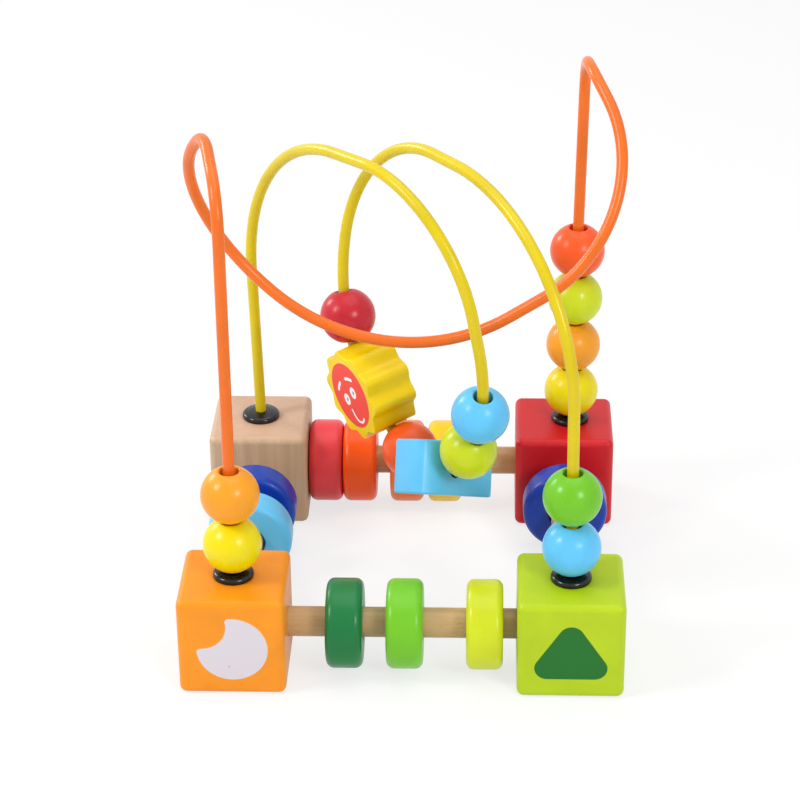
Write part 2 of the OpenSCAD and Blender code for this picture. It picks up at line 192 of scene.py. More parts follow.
class Value:
    """A number or vector in a material: sums and products on it add nodes."""

    def __init__(self, finish, socket):
        self.finish = finish
        self.socket = socket

    def math(self, operation, *others):
        """The outcome of an operation on this value and others."""
        node = self.finish.node("ShaderNodeMath", {"operation": operation}, dict(enumerate((self, *others))))
        return Value(self.finish, node.outputs[0])

    def __add__(self, other):
        return self.math("ADD", other)

    def __sub__(self, other):
        return self.math("SUBTRACT", other)

    def __mul__(self, other):
        return self.math("MULTIPLY", other)

    def __truediv__(self, other):
        return self.math("DIVIDE", other)

    def __rsub__(self, other):
        return (self * -1) + other

    def __neg__(self):
        return self * -1

    __radd__ = __add__
    __rmul__ = __mul__

    def least(self, other):
        """The lesser of two values."""
        return self.math("MINIMUM", other)

    def most(self, other):
        """The greater of two values."""
        return self.math("MAXIMUM", other)

    def size(self):
        """The value without its sign."""
        return self.math("ABSOLUTE")

    def clamped(self):
        """The value kept between 0 and 1."""
        node = self.finish.node("ShaderNodeClamp", {}, {"Value": self})
        return Value(self.finish, node.outputs[0])

    def along(self, direction):
        """How far a place lies along a direction."""
        node = self.finish.node("ShaderNodeVectorMath", {"operation": "DOT_PRODUCT"},
                                {0: self, 1: tuple(direction)})
        return Value(self.finish, node.outputs["Value"])


def hypot(u, v):
    """Length of a step of u and v."""
    return (u * u + v * v).math("SQRT")


class Finish:
    """A material under construction, with the nodes that its maker asks for."""

    def __init__(self, name, world=None):
        self.material = world or bpy.data.materials.new(name)
        self.material.use_nodes = True
        self.tree = self.material.node_tree
        self.tree.nodes.clear()
        self.output = self.node("ShaderNodeOutputWorld" if world else "ShaderNodeOutputMaterial", {}, {})

    def node(self, kind, settings, inputs):
        """A node of that kind, with its settings made first and then its sockets set or linked."""
        node = self.tree.nodes.new(kind)
        for key, value in settings.items():
            setattr(node, key, value)
        for key, value in inputs.items():
            socket = node.inputs[key]
            if isinstance(value, Value):
                self.tree.links.new(value.socket, socket)
            elif socket.type == "RGBA":
                socket.default_value = (*value, 1)
            else:
                socket.default_value = value
        return node

    def place(self):
        """Where a surface point lies, in metres."""
        return Value(self, self.node("ShaderNodeTexCoord", {}, {}).outputs["Object"])

    def facing(self, direction):
        """1 where a surface faces along a direction, either way, and 0 where it runs along it."""
        normal = Value(self, self.node("ShaderNodeNewGeometry", {}, {}).outputs["Normal"])
        return self.ramp(normal.along(direction).size(), 0.55, 0.95)

    def noise(self, place, scale, detail=3, stretch=(1, 1, 1)):
        """Noise of about that many spots to a metre, stretched."""
        mapping = self.node("ShaderNodeMapping", {"vector_type": "TEXTURE"}, {"Vector": place, "Scale": stretch})
        node = self.node("ShaderNodeTexNoise", {}, {
            "Vector": Value(self, mapping.outputs[0]), "Scale": scale, "Detail": detail})
        return Value(self, node.outputs[0])

    def ramp(self, value, low, high):
        """A value spread from low and high to 0 and 1."""
        return ((value - low) / (high - low)).clamped()

    def mix(self, factor, first, second):
        """Colours mixed by a factor."""
        node = self.node("ShaderNodeMix", {"data_type": "RGBA"}, {0: factor, 6: first, 7: second})
        return Value(self, node.outputs[2])

    def bump(self, height, distance, strength):
        """A normal that follows a height, whose full swing is a distance."""
        node = self.node("ShaderNodeBump", {}, {"Height": height, "Distance": distance, "Strength": strength})
        return Value(self, node.outputs[0])

    def seen(self):
        """1 where the camera sees a surface, straight, mirrored or through glass, and 0 for other light."""
        path = self.node("ShaderNodeLightPath", {}, {}).outputs
        rays = [Value(self, path[key]) for key in ("Is Camera Ray", "Is Glossy Ray", "Is Transmission Ray")]
        return (rays[0] + rays[1] + rays[2]).clamped()

    def surface(self, **inputs):
        """The finished shader, with underscores in its socket names for spaces."""
        shader = self.node("ShaderNodeBsdfPrincipled", {}, {k.replace("_", " "): v for k, v in inputs.items()})
        self.tree.links.new(shader.outputs[0], self.output.inputs[0])
        return self.material


def shade(paint, factor):
    """A paint darkened or lightened by a factor."""
    return tuple(min(1, part * factor) for part in paint)


def grain_stretch(direction, long, across=1.0):
    """How a noise is stretched along a direction of the frame's axes."""
    return tuple(across + (long - across) * abs(part) for part in direction)


def lacquer(name, paint, grain=(0, 0, 1), gloss=0.3, printed=None):
    """Coloured lacquer on wood: faint grain under the coat, mottled colour and a hand-polished gloss.
    printed turns the bare colour into the printed one, and gives the print's mask."""
    finish = Finish(name)
    place = finish.place()
    fibres = finish.noise(place, 900, 4, grain_stretch(grain, 14))
    cloud = finish.noise(place, 70, 3)
    peel = finish.noise(place, 1400, 2)
    tone = finish.mix(finish.ramp(cloud, 0.3, 0.7), shade(paint, 0.93), shade(paint, 1.04))
    tone = finish.mix(finish.ramp(fibres, 0.52, 0.72) * 0.09, tone, shade(paint, 0.76))
    roughness = gloss + finish.ramp(cloud, 0.35, 0.75) * 0.09 + finish.ramp(fibres, 0.45, 0.7) * 0.05
    height = fibres * 0.5 + peel * 0.3
    if printed:
        tone, mask = printed(finish, place, tone)
        roughness = roughness + mask * 0.08
        height = height + mask * 0.9
    return finish.surface(Base_Color=tone, Roughness=roughness, Normal=finish.bump(height, 0.04 * MM, 0.45),
                          Specular_IOR_Level=0.26, Coat_Weight=0.08, Coat_Roughness=0.12)


def bare_wood(name, paint, grain, pores=0.5):
    """Varnished pale wood: growth bands, fibres and short dark pores along the grain."""
    finish = Finish(name)
    place = finish.place()
    bands = finish.noise(place, 210, 3, grain_stretch(grain, 30))
    fibres = finish.noise(place, 1500, 5, grain_stretch(grain, 40))
    flecks = finish.noise(place, 2300, 2, grain_stretch(grain, 9))
    cloud = finish.noise(place, 45, 2)
    tone = finish.mix(finish.ramp(bands, 0.32, 0.68), shade(paint, 0.84), shade(paint, 1.08))
    tone = finish.mix(finish.ramp(fibres, 0.42, 0.7) * 0.4, tone, shade(paint, 0.7))
    tone = finish.mix(finish.ramp(flecks, 0.66, 0.74) * pores, tone, shade(paint, 0.48))
    tone = finish.mix(finish.ramp(cloud, 0.4, 0.7) * 0.25, tone, (paint[0], paint[1] * 0.86, paint[2] * 0.78))
    ends = finish.facing(grain)
    tone = finish.mix(ends * 0.7, tone, (paint[0] * 0.96, paint[1] * 0.86, paint[2] * 0.98))
    roughness = 0.42 + finish.ramp(fibres, 0.4, 0.7) * 0.14
    height = fibres * 0.7 - finish.ramp(flecks, 0.66, 0.74) * 0.6 + bands * 0.3
    return finish.surface(Base_Color=tone, Roughness=roughness, Normal=finish.bump(height, 0.06 * MM, 0.5),
                          Coat_Weight=0.12, Coat_Roughness=0.25)


def wire_coat(name, paint):
    """Dipped plastic coat on a wire: satin, a little wavy, with rubbed dull patches."""
    finish = Finish(name)
    place = finish.place()
    waves = finish.noise(place, 110, 1)
    rubbed = finish.noise(place, 55, 4)
    tone = finish.mix(finish.ramp(rubbed, 0.4, 0.7), shade(paint, 1.03), shade(paint, 0.93))
    roughness = 0.27 + finish.ramp(rubbed, 0.45, 0.75) * 0.12
    return finish.surface(Base_Color=tone, Roughness=roughness, Normal=finish.bump(waves, 0.1 * MM, 0.05),
                          Specular_IOR_Level=0.3, Coat_Weight=0.04, Coat_Roughness=0.2)


def moulded_black(name, paint):
    """Black moulded plastic: shiny, with fine dust and handling marks."""
    finish = Finish(name)
    place = finish.place()
    marks = finish.noise(place, 520, 5)
    dust = finish.noise(place, 2600, 1)
    tone = finish.mix(finish.ramp(dust, 0.66, 0.8) * 0.25, paint, (0.12, 0.12, 0.13))
    roughness = 0.16 + finish.ramp(marks, 0.45, 0.75) * 0.2
    return finish.surface(Base_Color=tone, Roughness=roughness, Normal=finish.bump(marks, 0.03 * MM, 0.3),
                          Specular_IOR_Level=0.36, Coat_Weight=0.1, Coat_Roughness=0.05)


class Print:
    """A flat print on one face: places on it in metres from its middle, to the right and up."""

    edge = 0.12 * MM

    def __init__(self, finish, place, middle, right, up, out):
        self.u = place.along(right) - Vector(middle).dot(right)
        self.v = place.along(up) - Vector(middle).dot(up)
        depth = place.along(out) - Vector(middle).dot(out)
        self.on_face = ((depth + 0.3 * MM) / (0.05 * MM)).clamped()

    def disc(self, u, v, radius):
        """Distance outside a disc."""
        return hypot(self.u - u, self.v - v) - radius

    def oval(self, u, v, wide, high):
        """Rough distance outside an oval."""
        return (hypot((self.u - u) / wide, (self.v - v) / high) - 1) * min(wide, high)

    def line(self, start, end):
        """Distance from a straight line."""
        du, dv = end[0] - start[0], end[1] - start[1]
        share = (((self.u - start[0]) * du + (self.v - start[1]) * dv) / (du * du + dv * dv)).clamped()
        return hypot(self.u - start[0] - share * du, self.v - start[1] - share * dv)

    def path(self, points):
        """Distance from a chain of straight lines."""
        nearest = self.line(points[0], points[1])
        for start, end in zip(points[1:-1], points[2:]):
            nearest = nearest.least(self.line(start, end))
        return nearest

    def beyond(self, start, end):
        """Distance to the right of the line from start to end."""
        du, dv = end[0] - start[0], end[1] - start[1]
        reach = math.hypot(du, dv)
        return (self.u - start[0]) * (dv / reach) - (self.v - start[1]) * (du / reach)

    def mask(self, distance):
        """1 inside a shape and 0 outside it, on the printed face alone."""
        return (0.5 - distance / self.edge).clamped() * self.on_face


def front_face(finish, place, node):
    """The print on the front of a corner block."""
    middle = box_middle(node)
    middle.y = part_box(node)[0].y
    return Print(finish, place, middle, (1, 0, 0), (0, 0, 1), (0, -1, 0))


def moon_print(finish, place, tone):
    """A bitten moon, with soft horns and a small smudge."""
    face = front_face(finish, place, "block_front_left")
    moon_radius, bite_radius, horn = 13.3 * MM, 9.4 * MM, 1.8 * MM
    whole = face.disc(0.4 * MM, 0, moon_radius)
    bite = -face.disc(-11.1 * MM, 9.6 * MM, bite_radius)
    inner = (whole + horn).most(0)
    outer = (bite + horn).most(0)
    horned = hypot(inner, outer) - horn
    moon = face.mask(horned.most(whole).most(bite))
    smudge = face.mask(face.oval(-0.9 * MM, -7.6 * MM, 0.35 * MM, 0.5 * MM))
    tone = finish.mix(moon, tone, tuple(colours().moon_print))
    return finish.mix(smudge * 0.6, tone, (0.3, 0.29, 0.31)), moon


def triangle_print(finish, place, tone):
    """A triangle with round corners."""
    face = front_face(finish, place, "block_front_right")
    corner = 4.8 * MM
    wide, low, high = 8.75 * MM, -6.7 * MM, 6.6 * MM
    points = [(-wide, low), (wide, low), (0, high), (-wide, low)]
    inside = face.beyond(points[0], points[1]).most(face.beyond(points[1], points[2]))
    inside = inside.most(face.beyond(points[2], points[3]))
    rim = face.path(points) - corner
    triangle = face.mask(rim.least(inside))
    return finish.mix(triangle, tone, tuple(colours().triangle_print)), triangle


def sun_frame():
    """The sun's middle and its axes: across, along the wire and through its thickness."""
    return wire_frame("sun_block", sizes().sun_tilt)


def face_print(finish, place, tone):
    """A smiling face with brows and eyes, turned on its side, on the sun's front."""
    middle, across, way, through = sun_frame()
    out = -through
    right = Vector((0, 0, 1)).cross(out).normalized()
    up = out.cross(right)
    face = Print(finish, place, middle + out * sizes().sun_thickness / 2, right, up, out)
    face_radius, smile_half, cheek_half, brow_half = 13.7 * MM, 0.5 * MM, 0.45 * MM, 0.68 * MM
    disc = face.mask(face.disc(0, 0, face_radius))
    eyes = [(2.5 * MM, 2.3 * MM), (-2.9 * MM, -3 * MM)]
    brows = [[(-2.4 * MM, 6.7 * MM), (-0.4 * MM, 7.6 * MM), (2.4 * MM, 8.1 * MM)],
             [(-8.9 * MM, -1 * MM), (-8.2 * MM, 1 * MM), (-7.1 * MM, 2.8 * MM)]]
    smile = [(0.6 * MM, -7.2 * MM), (1.6 * MM, -8.6 * MM), (3.2 * MM, -9.6 * MM), (5 * MM, -10 * MM),
             (6.9 * MM, -9.4 * MM), (8.1 * MM, -8.3 * MM), (8.6 * MM, -6.9 * MM)]
    cheek = [(-0.1 * MM, -6.7 * MM), (0.9 * MM, -7.7 * MM)]
    lines = face.path(smile) - smile_half
    lines = lines.least(face.path(cheek) - cheek_half)
    for brow in brows:
        lines = lines.least(face.path(brow) - brow_half)
    for u, v in eyes:
        lines = lines.least(face.oval(u, v, 2.3 * MM, 2.5 * MM))
    drawn = face.mask(lines)
    tone = finish.mix(disc, tone, tuple(colours().face_print))
    tone = finish.mix(drawn, tone, tuple(colours().face_line))
    for u, v in eyes:
        pupil = face.mask(face.oval(u + 0.3 * MM, v + 0.1 * MM, 0.55 * MM, 0.95 * MM))
        tone = finish.mix(pupil, tone, tuple(colours().pupil))
    return tone, disc


def wire_way(node):
    """Direction of the bore of a piece on a wire, from the joint that it moves by."""
    joint = JOINTS[node]
    axis = Vector(joint["axis"])
    if joint["name"].endswith("_travel"):
        return axis.cross(box_middle(node) - Vector(joint["pos_m"])).normalized()
    return axis.normalized()


def wire_frame(node, tilt):
    """Middle and axes of a piece in the trough that is turned round the wire by tilt."""
    way = wire_way(node)
    level = way.cross(Vector((0, 0, 1))).normalized()
    drop = way.cross(level)
    across = math.cos(tilt) * level + math.sin(tilt) * drop
    return box_middle(node), across, way, across.cross(way)


def frame_matrix(middle, x, y, z):
    """Matrix that sets a shape at middle with its axes along x, y and z."""
    return Matrix.Translation(middle) @ Matrix((x, y, z)).transposed().to_4x4()


def turned_matrix(middle, axis):
    """Matrix that sets a turned shape at middle with its Z along axis."""
    return Matrix.Translation(middle) @ Vector((0, 0, 1)).rotation_difference(axis).to_matrix().to_4x4()


def new_tree(name, inputs):
    """An empty geometry tree with a geometry in and out and named inputs, and a function that adds its nodes."""
    tree = bpy.data.node_groups.new(name, "GeometryNodeTree")
    tree.interface.new_socket("Geometry", in_out="INPUT", socket_type="NodeSocketGeometry")
    for label, kind in inputs:
        tree.interface.new_socket(label, in_out="INPUT", socket_type=kind)
    tree.interface.new_socket("Geometry", in_out="OUTPUT", socket_type="NodeSocketGeometry")

    def add(kind, settings=None, **links):
        node = tree.nodes.new(kind)
        for key, value in (settings or {}).items():
            setattr(node, key, value)
        for key, value in links.items():
            socket = node.inputs[key.replace("_", " ")]
            if isinstance(value, bpy.types.NodeSocket):
                tree.links.new(value, socket)
            else:
                socket.default_value = value
        return node

    return tree, add


def finish_tree(add, mesh, entry):
    """The nodes that end every tree: smooth shading, real geometry and the material."""
    smooth = add("GeometryNodeSetShadeSmooth", Geometry=mesh)
    real = add("GeometryNodeRealizeInstances", Geometry=smooth.outputs[0])
    painted = add("GeometryNodeSetMaterial", Geometry=real.outputs[0], Material=entry.outputs["Material"])
    add("NodeGroupOutput", Geometry=painted.outputs[0])


def turning_tree():
    """Geometry tree that turns a profile round an axis, as a lathe does. All turned pieces share it."""
    name = "Turned piece"
    if name in bpy.data.node_groups:
        return bpy.data.node_groups[name]
    tree, add = new_tree(name, [
        ("Radius", "NodeSocketFloat"), ("Segments", "NodeSocketInt"), ("Material", "NodeSocketMaterial")])
    entry = add("NodeGroupInput")
    profile = add("GeometryNodeMeshToCurve", Mesh=entry.outputs["Geometry"])
    circle = add("GeometryNodeCurvePrimitiveCircle", Resolution=entry.outputs["Segments"],
                 Radius=entry.outputs["Radius"])
    body = add("GeometryNodeCurveToMesh", Curve=circle.outputs["Curve"])
    tree.links.new(profile.outputs[0], body.inputs["Profile Curve"])
    welded = add("GeometryNodeMergeByDistance", Geometry=body.outputs[0], Distance=WELD)
    finish_tree(add, welded.outputs[0], entry)
    return tree


def bending_tree():
    """Geometry tree that bends a wire: corners rounded to their own radius, then a round coat."""
    tree, add = new_tree("Bent wire", [
        ("Wire radius", "NodeSocketFloat"), ("Sides", "NodeSocketInt"), ("Bend steps", "NodeSocketInt"),
        ("Material", "NodeSocketMaterial")])
    entry = add("NodeGroupInput")
    route = add("GeometryNodeMeshToCurve", Mesh=entry.outputs["Geometry"])
    radius = add("GeometryNodeInputNamedAttribute", {"data_type": "FLOAT"}, Name="bend_radius")
    bent = add("GeometryNodeFilletCurve", {"mode": "POLY"}, Curve=route.outputs[0], Radius=radius.outputs[0],
               Count=entry.outputs["Bend steps"])
    ring = add("GeometryNodeCurvePrimitiveCircle", Resolution=entry.outputs["Sides"],
               Radius=entry.outputs["Wire radius"])
    wire = add("GeometryNodeCurveToMesh", Curve=bent.outputs[0], Fill_Caps=True)
    tree.links.new(ring.outputs["Curve"], wire.inputs["Profile Curve"])
    finish_tree(add, wire.outputs[0], entry)
    return tree


def line_mesh(name, points, closed):
    """A mesh of points joined in a row."""
    edges = [(k, k + 1) for k in range(len(points) - 1)]
    if closed:
        edges.append((len(points) - 1, 0))
    mesh = bpy.data.meshes.new(name)
    mesh.from_pydata([(*p, 0) if len(p) == 2 else tuple(p) for p in points], edges, [])
    return mesh


def link(name, mesh):
    """A new object of the scene that shows a mesh."""
    item = bpy.data.objects.new(name, mesh)
    bpy.context.scene.collection.objects.link(item)
    return item


def baked(source, tree, values):
    """The plain mesh that a geometry tree makes of an object's mesh; the object is removed."""
    modifier = source.modifiers.new(tree.name, "NODES")
    modifier.node_group = tree
    for socket in tree.interface.items_tree:
        if socket.in_out == "INPUT" and socket.name in values:
            modifier[socket.identifier] = values[socket.name]
    shown = source.evaluated_get(bpy.context.evaluated_depsgraph_get())
    mesh = bpy.data.meshes.new_from_object(shown)
    source.modifiers.remove(modifier)
    bpy.data.objects.remove(source)
    return mesh


def outward(mesh):
    """A mesh with its faces pointing outwards."""
    shape = bmesh.new()
    shape.from_mesh(mesh)
    bmesh.ops.recalc_face_normals(shape, faces=shape.faces)
    shape.to_mesh(mesh)
    shape.free()
    return mesh


def stand_for(node, mesh):
    """The finished piece of a node: it takes the node's place and body."""
    piece = link(node + "_piece", mesh)
    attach(piece, BODY_OF[node])
    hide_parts(node)
    return piece


def arc(middle, radius, start, end, steps):
    """Points of an arc between two angles in degrees."""
    turns = [math.radians(start + (end - start) * k / steps) for k in range(steps + 1)]
    return [(middle[0] + radius * math.cos(t), middle[1] + radius * math.sin(t)) for t in turns]


def turn_on_lathe(node, profile, middle, axis, material, closed=True, segments=96):
    """A node's piece, turned from a profile of radius and height."""
    reach = max(point[0] for point in profile)
    source = link(node + "_profile", line_mesh(node, [(r - reach, -h) for r, h in profile], closed))
    mesh = baked(source, turning_tree(), {"Radius": reach, "Segments": segments, "Material": material})
    mesh.transform(turned_matrix(middle, axis))
    return stand_for(node, outward(mesh))


def disc_profile():
    """Half section of a counting disc, from its bore to its rounded rims."""
    rim, half, bore = DISC_SIZE.y / 2, DISC_SIZE.x / 2, sizes().disc_bore / 2
    edge, ease = sizes().disc_edge, sizes().bore_edge
    return (arc((bore + ease, half - ease), ease, 180, 90, 5)
            + arc((rim - edge, half - edge), edge, 90, 0, 10)
            + arc((rim - edge, edge - half), edge, 0, -90, 10)
            + arc((bore + ease, ease - half), ease, 270, 180, 5))


def bead_profile():
    """Half section of a bead: a ball with a bore whose mouths are eased."""
    ball, bore, ease = BEAD_SIZE.x / 2, sizes().bead_bore / 2, sizes().bore_edge
    mouth = math.sqrt((ball - ease) ** 2 - (bore + ease) ** 2)
    top = math.degrees(math.atan2(mouth, bore + ease))
    return (arc((0, 0), ball, -top, top, 40) + arc((bore + ease, mouth), ease, top, 180, 6)[1:]
            + arc((bore + ease, -mouth), ease, 180, 360 - top, 6)[:-1])


def grommet_profile():
    """Half section of a grommet: shank, flange with an eased rim, and dome up to the wire."""
    s = sizes()
    rim, ease, shoulder = GROMMET_SIZE.x / 2, s.grommet_edge, s.grommet_shoulder
    bore, shank = s.wire / 2 + s.fit, s.grommet_shank / 2
    top = s.grommet_rim + s.grommet_dome
    low = top - GROMMET_SIZE.z
    shares = [k / 8 for k in range(1, 9)]
    crown = [(rim - shoulder - (rim - shoulder - bore) * share,
              top - (top - shoulder - s.grommet_rim) * (1 - share) ** 2) for share in shares]
    return ([(bore, low), (shank, low), (shank, 0)] + arc((rim - ease, ease), ease, 270, 360, 4)
            + arc((rim - shoulder, s.grommet_rim), shoulder, 0, 90, 8) + crown)


def dowel_profile():
    """Half section of a dowel with eased ends."""
    radius, half, ease = DOWEL_SIZE.y / 2, DOWEL_SIZE.x / 2, sizes().dowel_edge
    return ([(0, half)] + arc((radius - ease, half - ease), ease, 90, 0, 4)
            + arc((radius - ease, ease - half), ease, 0, -90, 4) + [(0, -half)])


def wire_route(feet, shares, rise):
    """Corners of a wire: upright through block and grommet, then by its table of shares."""
    grommet_top = BLOCK_SIDE + sizes().grommet_rim + sizes().grommet_dome
    stand = [[Vector((x * POST, y * POST, z)) for z in (sizes().wire_foot, grommet_top)] for x, y in feet]
    middle = [Vector((x * POST, y * POST, z * rise)) for x, y, z in shares]
    return stand[0] + middle + stand[1][::-1]


ORANGE_FEET = [(-1, -1), (1.04, 1)]
YELLOW_FEET = [(-1, 1), (1, -1)]
ORANGE_SHARES = [(-1, -1, 0.93), (-1.12, -0.45, 0.985), (-1.47, 0.25, 0.78), (-0.15, -0.08, 0.427),
                 (1.56, -0.3, 0.795), (1.09, 0.52, 1), (1.085, 1, 0.955)]
YELLOW_SHARES = [(-1.05, 1, 0.92), (0.27, -0.71, 1), (0.525, -0.585, 0.5), (0.16, -0.05, 0.193),
                 (-0.46, 0.57, 0.513), (-0.315, 0.765, 0.963), (0.985, -1, 0.977)]
ORANGE_BENDS = [86 * MM, 20 * MM, 20 * MM, 53 * MM, 77 * MM, 53 * MM, 20 * MM, 20 * MM, 86 * MM]
YELLOW_BENDS = [86 * MM, 71 * MM, 49 * MM, 86 * MM, 31 * MM, 86 * MM, 49 * MM, 71 * MM, 86 * MM]


def bend_wire(node, tree, route, bends, material):
    """A node's piece, bent along its route. A corner where the route runs straight on is left out."""
    corners = [(route[k], bends[k - 1]) for k in range(1, len(route) - 1)
               if (route[k] - route[k - 1]).angle(route[k + 1] - route[k]) > LEAST_TURN]
    mesh = line_mesh(node + "_route", [route[0], *(corner for corner, _ in corners), route[-1]], False)
    radii = mesh.attributes.new("bend_radius", "FLOAT", "POINT")
    radii.data.foreach_set("value", [0, *(bend for _, bend in corners), 0])
    mesh = baked(link(node + "_route", mesh), tree, {
        "Wire radius": sizes().wire / 2, "Sides": WIRE_SIDES, "Bend steps": BEND_STEPS, "Material": material})
    return stand_for(node, softened(outward(mesh)))


def sawn_mesh(name, outline, thickness, edge, bore):
    """A flat shape sawn from a plank: an outline with eased edges, drilled along its Y."""
    ways = []
    count = len(outline)
    reach = 2 * max(math.hypot(x, y) for x, y in outline)
    for k in range(count):
        (x0, y0), (x1, y1) = outline[k - 1], outline[(k + 1) % count]
        step = math.hypot(x1 - x0, y1 - y0)
        ways.append(((y1 - y0) / step, (x0 - x1) / step))
    layers = []
    for turn in (0, 30, 60, 90):
        draw = edge * (1 - math.sin(math.radians(turn)))
        layers.append((draw, thickness / 2 - edge * (1 - math.cos(math.radians(turn)))))
    layers += [(draw, -height) for draw, height in reversed(layers)]
    shape = bmesh.new()
    rings = [[shape.verts.new((x - nx * draw, y - ny * draw, z)) for (x, y), (nx, ny) in zip(outline, ways)]
             for draw, z in layers]
    shape.faces.new(rings[0])
    shape.faces.new(rings[-1][::-1])
    for upper, lower in zip(rings, rings[1:]):
        for k in range(count):
            n = (k + 1) % count
            shape.faces.new((upper[n], upper[k], lower[k], lower[n]))
    bmesh.ops.recalc_face_normals(shape, faces=shape.faces)
    mesh = bpy.data.meshes.new(name)
    shape.to_mesh(mesh)
    shape.free()
    return drilled(name, mesh, [(Vector((0, -reach, 0)), Vector((0, reach, 0)), bore)])


def evaluated(item):
    """The plain mesh that an object's modifiers make; the object is removed."""
    mesh = bpy.data.meshes.new_from_object(item.evaluated_get(bpy.context.evaluated_depsgraph_get()))
    bpy.data.objects.remove(item)
    return mesh


def drilled(name, mesh, bores):
    """A mesh with bores, each given by its start, end and diameter, and shaded by its flats."""
    blank = link(name + "_blank", mesh)
    drills = []
    for start, end, diameter in bores:
        drill = bmesh.new()
        bmesh.ops.create_cone(drill, cap_ends=True, segments=64, radius1=diameter / 2, radius2=diameter / 2,
                              depth=(end - start).length, matrix=turned_matrix((start + end) / 2, end - start))
        drill_mesh = bpy.data.meshes.new(name + "_drill")
        drill.to_mesh(drill_mesh)
        drill.free()
        drills.append(link(name + "_drill", drill_mesh))
        cut = blank.modifiers.new("Bore", "BOOLEAN")
        cut.object, cut.operation, cut.solver = drills[-1], "DIFFERENCE", "EXACT"
    cut_mesh = evaluated(blank)
    for drill in drills:
        bpy.data.objects.remove(drill)
    shaded = link(name + "_shaded", softened(cut_mesh))
    flats = shaded.modifiers.new("Flats", "WEIGHTED_NORMAL")
    flats.keep_sharp = True
    return evaluated(shaded)


def block_mesh(node):
    """A corner block with round edges, two dowel bores and the stepped hole of its wire."""
    s = sizes()
    middle = box_middle(node)
    side_x, side_y = math.copysign(1, middle.x), math.copysign(1, middle.y)
    shape = bmesh.new()
    bmesh.ops.create_cube(shape, size=BLOCK_SIDE, matrix=Matrix.Translation(middle))
    bmesh.ops.bevel(shape, geom=shape.edges[:], offset=s.block_edge, segments=6, profile=0.5, affect="EDGES")
    mesh = bpy.data.meshes.new(node)
    shape.to_mesh(mesh)
    shape.free()
    grommet = node.replace("block", "grommet")
    foot = box_middle(grommet)
    top = BLOCK_SIDE + s.grommet_rim
    inner = POST - BLOCK_SIDE
    end = DOWEL_SIZE.x / 2 + s.fit
    bores = [(Vector((side_x * inner, middle.y, middle.z)), Vector((side_x * end, middle.y, middle.z)),
              DOWEL_SIZE.y + s.fit),
             (Vector((middle.x, side_y * inner, middle.z)), Vector((middle.x, side_y * end, middle.z)),
              DOWEL_SIZE.y + s.fit),
             (Vector((foot.x, foot.y, s.wire_foot - s.fit)), Vector((foot.x, foot.y, top)), s.wire + 2 * s.fit),
             (Vector((foot.x, foot.y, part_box(grommet)[0].z - s.fit)), Vector((foot.x, foot.y, top)),
              s.grommet_shank + 2 * s.fit)]
    return drilled(node, mesh, bores)


def softened(mesh):
    """A mesh shaded smooth, with its sharp edges left crisp."""
    shape = bmesh.new()
    shape.from_mesh(mesh)
    for face in shape.faces:
        face.smooth = True
    for edge in shape.edges:
        if len(edge.link_faces) == 2:
            edge.smooth = edge.calc_face_angle() < CREASE
    shape.to_mesh(mesh)
    shape.free()
    return mesh


class MAZE_OT_blocks(bpy.types.Operator):
    """Saw and drill the corner blocks, lacquer three and print the moon and the triangle on the front ones"""

    bl_idname = "maze.blocks"
    bl_label = "Corner blocks"

    def execute(self, context):
        c = colours()
        finishes = {
            "block_front_left": lacquer("orange_lacquer", c.orange_paint, (0, 1, 0), 0.36, moon_print),
            "block_front_right": lacquer("lime_lacquer", c.lime_paint, (0, 1, 0), 0.36, triangle_print),
            "block_back_left": bare_wood("natural_block", c.natural_wood, (0, 0, 1)),
            "block_back_right": lacquer("red_lacquer", c.red_paint, (0, 0, 1), 0.36),
        }
        for node, material in finishes.items():
            mesh = block_mesh(node)
            mesh.materials.clear()
            mesh.materials.append(material)
            stand_for(node, mesh)
        return {"FINISHED"}


class MAZE_OT_dowels(bpy.types.Operator):
    """Turn the four dowels of the base"""

    bl_idname = "maze.dowels"
    bl_label = "Dowels"

    def execute(self, context):
        for side, axis in (("front", (1, 0, 0)), ("back", (1, 0, 0)), ("left", (0, 1, 0)), ("right", (0, 1, 0))):
            node = "dowel_" + side
            material = bare_wood(node + "_wood", colours().dowel_wood, axis, 0.7)
            turn_on_lathe(node, dowel_profile(), box_middle(node), Vector(axis), material, closed=False)
        return {"FINISHED"}


class MAZE_OT_discs(bpy.types.Operator):
    """Turn the counting discs and lacquer each in its colour"""

    bl_idname = "maze.discs"
    bl_label = "Counting discs"

    def execute(self, context):
        for node in [n for n in frame["nodes"] if n.startswith("disc_")]:
            axis = Vector(JOINTS[node]["axis"])
            paint = getattr(colours(), SLOT_OF[node])
            material = lacquer(node + "_lacquer", paint, tuple(axis), 0.3)
            turn_on_lathe(node, disc_profile(), box_middle(node), axis, material)
        return {"FINISHED"}


class MAZE_OT_wires(bpy.types.Operator):
    """Bend the two coated wires"""

    bl_idname = "maze.wires"
    bl_label = "Wires"

    def execute(self, context):
        s, c = sizes(), colours()
        tree = bending_tree()
        bend_wire("wire_orange", tree, wire_route(ORANGE_FEET, ORANGE_SHARES, s.orange_rise), ORANGE_BENDS,
                  wire_coat("orange_coat", c.orange_coating))
        bend_wire("wire_yellow", tree, wire_route(YELLOW_FEET, YELLOW_SHARES, s.yellow_rise), YELLOW_BENDS,
                  wire_coat("yellow_coat", c.yellow_coating))
        return {"FINISHED"}


